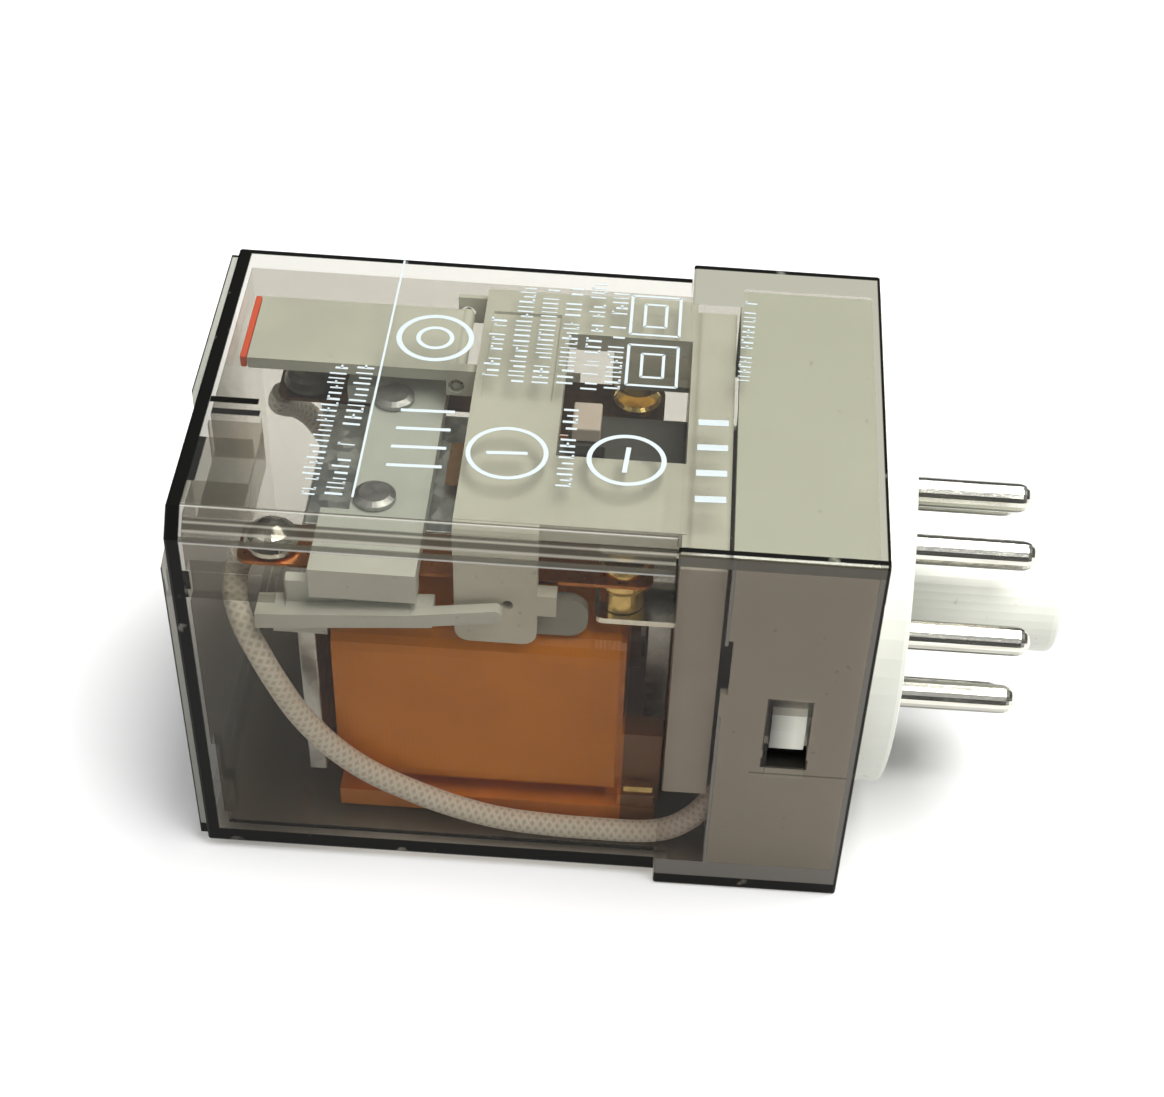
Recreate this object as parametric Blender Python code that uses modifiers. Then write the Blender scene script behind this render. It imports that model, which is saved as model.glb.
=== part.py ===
"""Octal-base plug-in relay, lying on its side with the coil side towards -Y.

Millimetre coordinates of the design: x runs from the closed end of the cover to the tip of the
guide post, y from the coil side to the far side with 0 on the relay's axis plane, and z up from
the surface it lies on. The world origin is below the middle of the whole relay.
"""
import math

import bmesh
import bpy
from mathutils import Matrix, Vector

MM = 0.001
COLLECTION = "plug_in_relay"

# Overall size
COVER_LENGTH = 53.1
SIDE = 36.0
SKIRT_X = 37.8  # where the cover steps out to its full width
STEP = 0.8  # how far the skirt stands out from the body
FLANGE_X = 55.8  # face of the round flange
POST_END = 69.3
PIN_END = 66.1
WALL = 1.1
PANEL = 0.6  # how far the panel on the closed end stands out
INNER_X = 1.7  # inner face of the closed end
CORNER = 1.8  # 45 degree cut along the body's upper coil-side edge
EDGE = 0.25  # rounding of the cover's other edges
X_MID = POST_END / 2

# Octal plug
PIN_RADIUS = 1.18
PIN_CIRCLE = 17.45 / 2
PIN_TAIL = 44.5
PIN_HOLE_RADIUS = 1.4
PLUG_CENTRE = (-0.8, 18.6)  # y and z of the plug's axis
PLUG_TURN = 2.7  # degrees
FLANGE_RADIUS = 15.6
POST_RADIUS = 4.05
BASE_X = (41.9, 52.9)
BASE_GAP = 0.3

WINDOW_X, WINDOW_Z = (45.9, 49.0), (13.7, 20.6)  # latch window in the cover

# Magnet
CORE_Z = 13.8
CORE_RADIUS = 3.75
CORE_FACE = 11.1
YOKE_Y = 7.2
YOKE_Z = (23.4, 25.6)
HINGE = (10.4, 25.7)  # x and z of the armature's knife edge
COIL_Y = 13.6
COIL_X = (11.5, 34.1)
COIL_Z = (5.4, 22.1)

# Contacts
POLE_Y = 10.1
CONTACT_X = 33.9
BLADE_Z = (27.3, 27.6)
STRIP_HALF = 2.3
STRIP_LEVELS = {"lower": (23.7, 24.2), "upper": (30.7, 31.2)}
DECK_Z = (32.3, 33.8)
GAP = 0.1  # running gap between pieces that rest on each other
RIVET_X, RIVET_Y = 14.4, 6.2
RIVET_HOLE = 0.8
DOME_X = 7.0

# Indicator
FLAG_PIVOT = (19.5, 31.5)
FLAG_Y = (6.9, 15.3)

# Sleeved leads, from the moving blade to the plug base
LEAD_RADIUS = 0.95
LEAD_ROUTE = (
    (4.6, -10.1, 26.3), (4.1, -10.6, 25.0), (4.1, -12.0, 23.6), (4.9, -13.6, 22.2), (6.0, -14.6, 20.4),
    (7.2, -15.0, 17.8), (8.9, -15.0, 14.1), (11.3, -15.0, 10.7), (14.0, -15.0, 8.2), (17.0, -15.0, 6.4),
    (20.7, -15.0, 4.7), (24.8, -15.0, 3.5), (29.0, -15.0, 3.05), (33.0, -15.0, 2.95),
    (36.6, -14.95, 2.95), (38.9, -14.85, 3.5), (40.7, -14.7, 4.9), (42.0, -14.5, 6.7),
    (43.3, -14.2, 8.9), (44.1, -13.9, 11.0),
)

SEGMENTS = 32

SMOKE = ("smoke_clear", (0.25, 0.22, 0.20), 0.08, 0.0)
GREY = ("grey_plastic", (0.56, 0.55, 0.50), 0.45, 0.0)
LIGHT = ("light_plastic", (0.78, 0.79, 0.76), 0.45, 0.0)
DARK = ("dark_plastic", (0.10, 0.10, 0.10), 0.5, 0.0)
CREAM = ("cream_plastic", (0.90, 0.80, 0.74), 0.5, 0.0)
RED = ("red_plastic", (0.90, 0.12, 0.05), 0.5, 0.0)
AMBER = ("amber_tape", (0.72, 0.30, 0.06), 0.25, 0.0)
BOBBIN = ("bobbin_plastic", (0.55, 0.22, 0.06), 0.4, 0.0)
COPPER = ("copper", (0.80, 0.42, 0.24), 0.35, 1.0)
BRONZE = ("bronze", (0.72, 0.42, 0.22), 0.35, 1.0)
STEEL = ("steel", (0.45, 0.45, 0.44), 0.4, 1.0)
ZINC = ("zinc_plate", (0.68, 0.70, 0.72), 0.35, 1.0)
NICKEL = ("nickel", (0.78, 0.77, 0.74), 0.2, 1.0)
GOLD = ("gold", (0.90, 0.68, 0.28), 0.22, 1.0)
SLEEVE = ("white_sleeve", (0.86, 0.84, 0.80), 0.7, 0.0)


# ---------------------------------------------------------------- helpers

def world(x, y, z):
    """World position, in metres, of a point of the design."""
    return Vector((x - X_MID, y, z)) * MM


def clear_scene():
    for obj in list(bpy.data.objects):
        bpy.data.objects.remove(obj, do_unlink=True)


def collection(name):
    found = bpy.data.collections.get(name) or bpy.data.collections.new(name)
    if found.name not in bpy.context.scene.collection.children:
        bpy.context.scene.collection.children.link(found)
    return found


def material(spec):
    name, colour, roughness, metallic = spec
    found = bpy.data.materials.get(name)
    if found:
        return found
    made = bpy.data.materials.new(name)
    made.use_nodes = True
    shader = made.node_tree.nodes["Principled BSDF"]
    shader.inputs["Base Color"].default_value = (*colour, 1.0)
    shader.inputs["Roughness"].default_value = roughness
    shader.inputs["Metallic"].default_value = metallic
    return made


def add(name, mesh, spec, place=None):
    """Link a mesh as a piece of the relay, or as a cutter when it has no material."""
    obj = bpy.data.objects.new(name, mesh)
    if spec is None:
        collection("cutters").objects.link(obj)
        obj.hide_render = True
        obj.display_type = "WIRE"
    else:
        collection(COLLECTION).objects.link(obj)
        mesh.materials.append(material(spec))
    if place is not None:
        obj.location = place
    return obj


def mesh_from(name, build):
    """A mesh filled by build(bm)."""
    mesh = bpy.data.meshes.new(name)
    bm = bmesh.new()
    build(bm)
    bm.to_mesh(mesh)
    bm.free()
    return mesh


def box(name, xs, ys, zs, spec=None):
    size = Vector((xs[1] - xs[0], ys[1] - ys[0], zs[1] - zs[0])) * MM

    def build(bm):
        bmesh.ops.create_cube(bm, size=1.0, matrix=Matrix.Diagonal((*size, 1.0)))

    centre = world(sum(xs) / 2, sum(ys) / 2, sum(zs) / 2)
    return add(name, mesh_from(name, build), spec, centre)


TURN = {
    "x": Matrix.Rotation(math.radians(90), 4, "Y"),
    "y": Matrix.Rotation(math.radians(-90), 4, "X"),
    "z": Matrix.Identity(4),
}


def rod(name, axis, centre, span, radius, spec=None, segments=SEGMENTS):
    """A cylinder along axis, from span[0] to span[1] on it; centre holds the other two numbers."""
    length = (span[1] - span[0]) * MM
    along = sum(span) / 2
    spots = {
        "x": (along, centre[0], centre[1]),
        "y": (centre[0], along, centre[1]),
        "z": (centre[0], centre[1], along),
    }

    def build(bm):
        bmesh.ops.create_cone(bm, cap_ends=True, segments=segments, radius1=radius * MM,
                              radius2=radius * MM, depth=length, matrix=TURN[axis])

    obj = add(name, mesh_from(name, build), spec, world(*spots[axis]))
    if spec is not None:
        smooth(obj)
    return obj


def smooth(obj, angle=40):
    obj.data.shade_smooth()
    obj.data.set_sharp_from_angle(angle=math.radians(angle))


def curve_to_mesh(curve, name, spec, place):
    """Turn a curve into a closed mesh object and drop the curve."""
    source = bpy.data.objects.new(name + "_outline", curve)
    bpy.context.scene.collection.objects.link(source)
    graph = bpy.context.evaluated_depsgraph_get()
    mesh = bpy.data.meshes.new_from_object(source.evaluated_get(graph))
    bm = bmesh.new()
    bm.from_mesh(mesh)
    bmesh.ops.remove_doubles(bm, verts=bm.verts, dist=1e-6)
    bm.to_mesh(mesh)
    bm.free()
    bpy.data.objects.remove(source, do_unlink=True)
    obj = add(name, mesh, spec)
    obj.matrix_world = place
    return obj


# A flat outline lies in its own XY plane; these turn it into the plane that it is drawn in.
PLANE = {
    "yz": Matrix(((0, 0, 1, 0), (1, 0, 0, 0), (0, 1, 0, 0), (0, 0, 0, 1))),
    "xz": Matrix(((1, 0, 0, 0), (0, 0, -1, 0), (0, 1, 0, 0), (0, 0, 0, 1))),
    "xy": Matrix.Identity(4),
}


def plate(name, plane, outline, span, spec=None):
    """An outline in a plane, extruded over span on the third axis."""
    curve = bpy.data.curves.new(name, "CURVE")
    curve.dimensions = "2D"
    curve.fill_mode = "BOTH"
    curve.extrude = (span[1] - span[0]) / 2 * MM
    spline = curve.splines.new("POLY")
    spline.points.add(len(outline) - 1)
    for point, (a, b) in zip(spline.points, outline):
        point.co = (a * MM, b * MM, 0, 1)
    spline.use_cyclic_u = True
    middle = sum(span) / 2
    origin = {"yz": (middle, 0, 0), "xz": (0, middle, 0), "xy": (0, 0, middle)}[plane]
    place = Matrix.Translation(world(*origin)) @ PLANE[plane]
    return curve_to_mesh(curve, name, spec, place)


def arc(centre, radius, start, end, steps):
    """Points on an arc, with its angles in degrees."""
    angles = [math.radians(start + (end - start) * i / steps) for i in range(steps + 1)]
    return [(centre[0] + radius * math.cos(a), centre[1] + radius * math.sin(a)) for a in angles]


def rounded(a, b, radius, steps=4):
    """A rectangle with round corners, from its two ranges."""
    points = []
    for ca, cb, start in ((a[1], b[0], -90), (a[1], b[1], 0), (a[0], b[1], 90), (a[0], b[0], 180)):
        inward = (ca - math.copysign(radius, ca - sum(a) / 2), cb - math.copysign(radius, cb - sum(b) / 2))
        points += arc(inward, radius, start, start + 90, steps)
    return points


def one_cut(a, b, cut):
    """A rectangle with only the corner at a[0], b[1] cut at 45 degrees."""
    return [(a[0], b[0]), (a[1], b[0]), (a[1], b[1]), (a[0] + cut, b[1]), (a[0], b[1] - cut)]


def chamfered(a, b, cut):
    """A rectangle with its corners cut at 45 degrees."""
    return [
        (a[0] + cut, b[0]), (a[1] - cut, b[0]), (a[1], b[0] + cut), (a[1], b[1] - cut),
        (a[1] - cut, b[1]), (a[0] + cut, b[1]), (a[0], b[1] - cut), (a[0], b[0] + cut),
    ]


def turned(name, profile, axis, origin, spec, segments=SEGMENTS):
    """A turned solid: profile holds (radius, height) from its top to its bottom."""
    mesh = bpy.data.meshes.new(name)
    bm = bmesh.new()
    verts = [bm.verts.new((r * MM, 0, h * MM)) for r, h in profile]
    for first, second in zip(verts, verts[1:]):
        bm.edges.new((first, second))
    bm.to_mesh(mesh)
    bm.free()
    obj = add(name, mesh, spec)
    screw = obj.modifiers.new("turn", "SCREW")
    screw.steps = screw.render_steps = segments
    screw.use_merge_vertices = True
    screw.merge_threshold = 0.000001
    screw.use_smooth_shade = True
    obj.matrix_world = Matrix.Translation(world(*origin)) @ TURN[axis]
    return obj


def combine(target, others, operation):
    for other in others:
        step = target.modifiers.new(operation.lower() + "_" + other.name, "BOOLEAN")
        step.operation = operation
        step.object = other
        step.solver = "EXACT"
    return target


def cut(target, *others):
    return combine(target, others, "DIFFERENCE")


def join(target, *others):
    return combine(target, others, "UNION")


def soften(obj, width, segments=2, angle=50):
    bevel = obj.modifiers.new("edges", "BEVEL")
    bevel.width = width * MM
    bevel.segments = segments
    bevel.limit_method = "ANGLE"
    bevel.angle_limit = math.radians(angle)
    return obj


def hang(pivot_name, place, pieces):
    """Parent pieces to an empty on their joint's axis."""
    pivot = bpy.data.objects.new(pivot_name, None)
    pivot.empty_display_size = 0.005
    collection(COLLECTION).objects.link(pivot)
    pivot.location = world(*place)
    bpy.context.view_layer.update()
    for piece in pieces:
        matrix = piece.matrix_world.copy()
        piece.parent = pivot
        piece.matrix_world = matrix
    return pivot


def both_sides(ys):
    """A y range on the coil side and its mirror on the far side, with a label for each."""
    return (("front", (-ys[1], -ys[0])), ("rear", ys))


# ---------------------------------------------------------------- case

def make_cover():
    body_y = (-SIDE / 2 + STEP, SIDE / 2 - STEP)
    body_z = (STEP, SIDE - STEP)
    inner_y = (body_y[0] + WALL, body_y[1] - WALL)
    inner_z = (body_z[0] + WALL, body_z[1] - WALL)
    inner_corner = CORNER - (2 - math.sqrt(2)) * WALL  # keeps the wall's thickness at the cut edge
    cover = plate("cover", "yz", one_cut(body_y, body_z, CORNER), (PANEL, SKIRT_X + 0.4), SMOKE)
    soften(cover, EDGE)
    skirt = soften(box("skirt_outer", (SKIRT_X, COVER_LENGTH), (-SIDE / 2, SIDE / 2), (0, SIDE)), EDGE)
    cavity = plate("cavity", "yz", one_cut(inner_y, inner_z, inner_corner), (INNER_X, SKIRT_X + 2))
    skirt_inside = box("skirt_inside", (SKIRT_X + WALL, COVER_LENGTH + 1),
                       (-SIDE / 2 + WALL, SIDE / 2 - WALL), (WALL, SIDE - WALL))
    join(cover, skirt, *end_panel(body_y, body_z))
    cut(cover, cavity, skirt_inside)
    add_cover_details(cover, inner_y, inner_z)

    # Latch windows on the coil side and the far side.
    for side, ys in both_sides((SIDE / 2 - 2, SIDE / 2 + 1)):
        cut(cover, box("latch_window_" + side, WINDOW_X, ys, WINDOW_Z))
    return cover


def end_panel(body_y, body_z):
    """Raised panel on the closed end, ramped down to a recess at the upper coil-side corner."""
    inset, sink = 0.45, 0.4
    low_y, high_y = body_y[0] + inset, body_y[1] - inset
    low_z, high_z = body_z[0] + inset, body_z[1] - inset
    edge_y, edge_z, ramp = -1.5, 30.2, 2.3  # where the panel stops, and how far it slopes down
    far = plate("end_panel_far", "xy", [
        (0, edge_y), (PANEL, edge_y - ramp), (PANEL + sink, edge_y - ramp),
        (PANEL + sink, high_y), (0, high_y)], (low_z, high_z))
    near = plate("end_panel_near", "xz", [
        (0, low_z), (PANEL + sink, low_z), (PANEL + sink, edge_z + ramp), (PANEL, edge_z + ramp),
        (0, edge_z)], (low_y, edge_y + sink))
    return far, near


def add_cover_details(cover, inner_y, inner_z):
    """Blind pockets for the socket's retaining clip, and the ribs inside the closed end."""
    sink = 0.2
    top, side, bottom = inner_z[1] + sink, inner_y[0] - sink, inner_z[0] - sink
    root = INNER_X - sink
    join(cover,
         box("clip_pocket_upper", (root, 5.9), (-11.2, -4.6), (30.6, top)),
         box("clip_rib", (root, 5.6), (-4.0, -3.3), (30.6, top)),
         box("clip_pocket_side", (root, 8.8), (side, -14.9), (26.6, 29.6)),
         box("corner_rib", (root, 2.3), (side, -14.9), (bottom, 11.2)),
         box("corner_lug", (root, 3.1), (side, -14.9), (3.6, 7.2)))
    cut(cover,
        box("clip_pocket_upper_inside", (-1, 5.2), (-10.5, -5.3), (31.3, 33.5)),
        box("clip_pocket_side_inside", (-1, 8.1), (-16.4, -15.5), (27.2, 29.0)))


def make_plug_base():
    half = SIDE / 2 - WALL - BASE_GAP
    zs = (WALL + BASE_GAP, SIDE - WALL - BASE_GAP)
    y, z = PLUG_CENTRE
    base = box("plug_base", BASE_X, (-half, half), zs, LIGHT)
    flange = rod("flange", "x", PLUG_CENTRE, (BASE_X[1] - 0.5, FLANGE_X), FLANGE_RADIUS, segments=64)
    soften(flange, 0.4)
    post = rod("guide_post", "x", PLUG_CENTRE, (FLANGE_X - 1, POST_END), POST_RADIUS, segments=40)
    soften(post, 0.7, 3)
    key = box("guide_key", (FLANGE_X - 1, POST_END - 1.2), (y + POST_RADIUS - 0.8, y + POST_RADIUS + 1.0),
              (z - 0.8, z + 0.8))
    join(base, flange, post, key)
    cut(base, box("wire_chamber", (BASE_X[0] - 1, 45.2), (-15.9, 15.9), (2.8, 33.2)))
    for side, ys in both_sides((half - 1.6, half + 1)):
        cut(base,
            box("latch_pocket_" + side, (WINDOW_X[0] - 0.2, WINDOW_X[1] + 0.2), ys,
                (WINDOW_Z[0] - 0.2, WINDOW_Z[1] + 0.2)),
            box("seam_notch_" + side, (BASE_X[0] - 1, 42.5), ys, (21.0, 26.6)))
    for side, ys in both_sides((half - 2.2, half + 0.1)):
        join(base, make_latch(side, ys))
    for index, spot in enumerate(pin_spots()):
        hole = rod("pin_hole_%d" % (index + 1), "x", spot, (45, FLANGE_X + 1), PIN_HOLE_RADIUS,
                   segments=20)
        cut(base, hole)
    return base


def make_latch(side, ys):
    """The curved snap tab that fills the upper part of a latch window."""
    root_y, tip_y = (ys[1], ys[0]) if side == "front" else (ys[0], ys[1])
    lean = (tip_y - root_y) * 0.8
    bottom, top = WINDOW_Z[0] + 1.5, WINDOW_Z[1] + 0.5
    outline = [(root_y, bottom), (root_y + lean, bottom), (tip_y, bottom + 0.5), (tip_y, bottom + 2.4),
               (root_y + lean, top - 1.4), (root_y, top)]
    if side == "front":
        outline.reverse()
    return plate("latch_tab_" + side, "yz", outline, (WINDOW_X[0] + 0.2, WINDOW_X[1] - 0.2))


def pin_spots():
    """y and z of the eight pins, evenly round the guide post."""
    y, z = PLUG_CENTRE
    angles = [math.radians(22.5 + PLUG_TURN + 45 * i) for i in range(8)]
    return [(y + PIN_CIRCLE * math.cos(a), z + PIN_CIRCLE * math.sin(a)) for a in angles]


def make_pins():
    """Tubular nickel-plated pins with domed ends."""
    length = PIN_END - PIN_TAIL
    dome = [(r, length - PIN_RADIUS + h) for h, r in
            reversed(arc((0, 0), PIN_RADIUS, 0, 90, 6))]
    profile = list(reversed(dome)) + [(PIN_RADIUS, 0.2), (PIN_RADIUS - 0.2, 0), (0, 0)]
    profile[0] = (0, length)
    for index, (y, z) in enumerate(pin_spots()):
        turned("pin_%d" % (index + 1), profile, "x", (PIN_TAIL, y, z), NICKEL, segments=20)


# ---------------------------------------------------------------- contact frame

def make_contact_frame():
    """The grey moulding that closes the base and carries the fixed contacts over the coil."""
    plate_x = (38.1, 41.6)
    frame = plate("contact_frame", "yz", chamfered((-15.7, 15.7), (2.3, 33.7), 1.1), plate_x, GREY)
    join(frame, box("deck", (21.2, plate_x[0] + 0.3), (-13.2, 15.8), DECK_Z))
    for side, ys in both_sides((12.65, 13.95)):
        join(frame, plate("ear_" + side, "xz", rounded((21.25, 27.55), (22.4, 33.0), 1.1), ys),
             box("ear_stub_" + side, (27.3, 29.0), ys, (25.4, 27.4)))
    for side, sign in (("front", -1), ("rear", 1)):
        join(frame, plate("ear_bend_" + side, "yz", bend_outline(sign), (21.2, 27.6)))
    for side, ys in both_sides((11.9, 12.8)):
        join(frame, plate("blade_wall_" + side, "xz", rounded((22.0, 31.4), (22.5, 26.2), 1.5), ys))
    for side, ys in (("inner", (5.6, 6.6)), ("outer", (15.5, 15.95))):
        join(frame, box("flag_lug_" + side, (18.7, 22.0), ys, (30.6, 33.0)))

    # The deck is open above the contacts; its label field is a shallow recess.
    cut(frame,
        box("deck_opening", (28.2, plate_x[0]), (-5.1, 10.4), (31, 35)),
        box("label_field", (21.9, 27.4), (1.5, 12.8), (DECK_Z[1] - 0.25, 35)),
        rod("flag_pin_hole", "y", FLAG_PIVOT, (5.0, 16.5), 0.65, segments=16))
    for side, ys in both_sides((12.0, 14.6)):
        cut(frame, rod("lever_eye_" + side, "y", (25.3, 26.3), ys, 0.45, segments=16))
    for side, ys in both_sides((9.5, 17.0)):
        cut(frame, box("wire_notch_" + side, (37.5, 42.5), ys, (1.5, 8.8)))
    slot_half = STRIP_HALF + 0.15
    for side, ys in both_sides((POLE_Y - slot_half, POLE_Y + slot_half)):
        for level, zs in STRIP_LEVELS.items():
            slot = box("slot_%s_%s" % (level, side), (37.5, 42.5), ys, (zs[0] - 0.15, zs[1] + 0.15))
            cut(frame, slot)
    cut(frame, box("barrier_slot", (37.5, 40.0), (-7.2, 7.6), (27.0, 28.4)))
    return frame


def bend_outline(sign):
    """The round bend where the deck folds down into an ear, on the side given by sign."""
    face, inside, bend = 14.0, 12.6, 1.1
    outline = [(inside, 31.0), (face, 31.0)] + arc((face - bend, DECK_Z[1] - bend), bend, 0, 90, 5)
    outline += [(inside - 0.6, DECK_Z[1]), (inside - 0.6, DECK_Z[0] + 0.1), (inside, DECK_Z[0] + 0.1)]
    points = [(sign * y, z) for y, z in outline]
    return points if sign > 0 else list(reversed(points))


def make_fixed_contacts():
    """Four strips held in slots of the frame, each with a contact button."""
    for side, ys in both_sides((POLE_Y - STRIP_HALF, POLE_Y + STRIP_HALF)):
        middle = sum(ys) / 2
        for level, zs in STRIP_LEVELS.items():
            plate("fixed_strip_%s_%s" % (level, side), "xy", rounded((31.8, 41.4), ys, 0.7), zs, NICKEL)
        turned("fixed_contact_lower_" + side, button(1.8, 2.0, 0.25), "z",
               (CONTACT_X, middle, STRIP_LEVELS["lower"][1] + GAP), GOLD)
        height = 1.1
        turned("fixed_contact_upper_" + side, upside_down(button(2.0, height, 0.25), height), "z",
               (CONTACT_X, middle, STRIP_LEVELS["upper"][0] - GAP - height), GOLD)


def button(radius, height, edge):
    """Profile of a contact button with its working face on top."""
    return [(0, height), (radius - edge, height), (radius, height - edge), (radius, 0), (0, 0)]


def upside_down(profile, height):
    """The same profile upside down, still from its top to its bottom."""
    return [(r, height - h) for r, h in reversed(profile)]


def make_barrier():
    """The dark insulating plate between the poles, and the pale pad on its tongue."""
    barrier = box("pole_barrier", (31.6, 39.7), (-7.0, 7.4), (27.2, 28.2), DARK)
    tongue = box("barrier_tongue", (28.6, 31.9), (3.4, 7.4), (27.2, 28.2))
    join(barrier, tongue)
    pad = box("barrier_pad", (28.9, 31.2), (3.7, 7.2), (28.3, 29.6), CREAM)
    soften(pad, 0.15)


# ---------------------------------------------------------------- magnet

def make_yoke():
    yoke = box("yoke", (10.7, 38.0), (-YOKE_Y, YOKE_Y), YOKE_Z, ZINC)
    back = box("yoke_back", (36.1, 38.0), (-YOKE_Y, YOKE_Y), (8.3, YOKE_Z[0] + 1))
    join(yoke, back)


def make_core():
    core = rod("core", "x", (0, CORE_Z), (CORE_FACE, 35.9), CORE_RADIUS, STEEL)
    groove = ring_segment("shading_groove", 2.75, 1.65, (CORE_FACE - 0.6, CORE_FACE + 0.9))
    cut(core, groove)
    ring_segment("shading_ring", 2.6, 1.8, (CORE_FACE + 0.1, CORE_FACE + 0.7), COPPER)


def ring_segment(name, outer, inner, span, spec=None):
    """A flat ring round the upper half of the core's pole face."""
    centre = (0, CORE_Z)
    outline = arc(centre, outer, 15, 165, 12) + arc(centre, inner, 165, 15, 12)
    return plate(name, "yz", outline, span, spec)


def make_coil():
    """Bobbin, winding and the tape round it."""
    tube = 4.7
    near, far = COIL_X[0] - 0.1, COIL_X[1] + 0.4
    flange_y, flange_z = (-13.0, 13.0), (COIL_Z[0] + 0.6, COIL_Z[1] - 0.6)
    bobbin = rod("bobbin", "x", (0, CORE_Z), (near + 0.2, 35.5), tube, BOBBIN)
    for name, xs in (("near", (near, near + 0.9)), ("far", (far - 1.2, far))):
        join(bobbin, plate("bobbin_flange_" + name, "yz", rounded(flange_y, flange_z, 1.6), xs))
    shelf = box("bobbin_shelf", (near, 37.6), (-13.8, 13.8), (2.7, 4.5))
    near_post = box("shelf_post_near", (near + 0.1, near + 0.8), (-6, 6), (4.3, 6.5))
    far_post = box("shelf_post_far", (far - 1.1, far), (-12.5, 12.5), (4.3, 6.5))
    join(bobbin, shelf, near_post, far_post)
    for side, ys in both_sides((10.3, 12.5)):
        join(bobbin, box("terminal_block_" + side, (far - 0.2, 37.8), ys, (4.3, 11.8)))
    for side, ys in both_sides((12.3, 13.6)):
        join(bobbin, box("terminal_rest_" + side, (far - 0.1, 37.4), ys, (4.4, 5.8)))
    cut(bobbin, rod("bobbin_bore", "x", (0, CORE_Z), (10, 36), CORE_RADIUS + 0.3))

    wound_y, wound_z = (-12.9, 12.9), (COIL_Z[0] + 0.8, COIL_Z[1] - 0.8)
    winding = plate("winding", "yz", rounded(wound_y, wound_z, 1.6), (near + 1.2, far - 1.5), COPPER)
    cut(winding, rod("winding_bore", "x", (0, CORE_Z), (11, 35), tube + 0.3))

    wrap = 0.35
    tape = plate("coil_tape", "yz", rounded((-COIL_Y, COIL_Y), COIL_Z, 1.9), COIL_X, AMBER)
    hollow = plate("tape_inside", "yz", rounded((-COIL_Y + wrap, COIL_Y - wrap),
                                                (COIL_Z[0] + wrap, COIL_Z[1] - wrap), 1.6),
                   (COIL_X[0] - 1, COIL_X[1] + 1))
    notch_z = (COIL_Z[0] - 1, COIL_Z[0] + 1)
    cut(tape, hollow,
        box("tape_notch_near", (near - 1, near + 1.1), (-6.3, 6.3), notch_z),
        box("tape_notch_far", (far - 1.4, far + 1), (-12.8, 12.8), notch_z))


def make_coil_terminals():
    for side, ys in both_sides((12.6, 13.4)):
        box("coil_terminal_" + side, (34.9, 37.3), ys, (5.9, 6.6), GOLD)


def make_armature():
    """Angled steel armature that rocks on the end of the yoke, held down by a leaf spring."""
    leg_half, neck_half = 12.2, 7.4
    outline = [(-leg_half, 5.0), (leg_half, 5.0), (leg_half, 22.4), (neck_half, 22.4),
               (neck_half, 26.8), (-neck_half, 26.8), (-neck_half, 22.4), (-leg_half, 22.4)]
    armature = plate("armature", "yz", outline, (8.7, 10.1), ZINC)
    arm = box("armature_arm", (8.9, 21.5), (0.15 - neck_half, neck_half - 0.15), (25.9, 27.3))
    join(armature, arm)
    for y in (-RIVET_Y, RIVET_Y):
        cut(armature, rod("arm_hole_%+d" % y, "z", (RIVET_X, y), (25, 28), RIVET_HOLE, segments=20))
    return armature


def make_return_spring():
    """Leaf spring fixed on the yoke, pressing on the end of the armature's arm."""
    thick = 0.25
    top = [(27.5, 25.75 + thick), (23.9, 25.75 + thick), (23.0, 28.25), (22.4, 28.45), (19.4, 28.3)]
    bottom = [(x + dx, z - dz) for (x, z), (dx, dz) in zip(
        reversed(top), ((0, thick), (0, thick), (-0.2, thick), (-0.24, thick), (0, thick)))]
    plate("return_spring", "xz", list(reversed(top + bottom)), (-2.5, 2.5), BRONZE)


def make_carrier():
    """Insulating carrier that clamps the moving blades to the armature."""
    xs = (10.4, 18.5)
    carrier = box("contact_carrier", xs, (-14.8, 14.8), (27.7, 29.3), GREY)
    for side, ys in both_sides((12.8, 14.8)):
        join(carrier, box("carrier_wall_" + side, xs, ys, (26.6, 28.2)))
    for side, ys in both_sides((12.8, 13.8)):
        join(carrier, box("carrier_web_" + side, (8.4, 18.0), ys, (23.9, 27.2)))
        join(carrier, box("carrier_tab_" + side, (7.2, 11.4), ys, (21.9, 24.4)))
    for side, ys in both_sides((7.7, 13.2)):
        join(carrier, box("blade_clamp_" + side, (11.5, 17.5), ys, (25.9, 27.2)))
    for side, ys in both_sides((12.8, 15.3)):
        join(carrier, plate("lever_" + side, "xz", lever_outline(), ys))
    for side, ys in both_sides((13.6, 15.3)):
        join(carrier, plate("lever_tip_" + side, "xz", lever_tip_outline(), shift_tip(ys)))
    cut(carrier, box("arm_window", (9.0, 12.6), (-7.6, 7.6), (27, 30)))
    for y in (-RIVET_Y, RIVET_Y):
        cut(carrier, rod("carrier_hole_%+d" % y, "z", (RIVET_X, y), (27, 30), RIVET_HOLE, segments=20))
    return carrier


def shift_tip(ys):
    """The lever's tip lies outside the frame's ear."""
    return (ys[0] + 0.7, ys[1]) if ys[0] > 0 else (ys[0], ys[1] - 0.7)


def lever_outline():
    return [(6.2, 23.5), (19.7, 24.7), (19.7, 25.9), (6.2, 24.9)]


def lever_tip_outline():
    return [(18.0, 24.6)] + arc((24.4, 26.2), 0.6, -80, 80, 6) + [(18.0, 25.8)]


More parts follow.
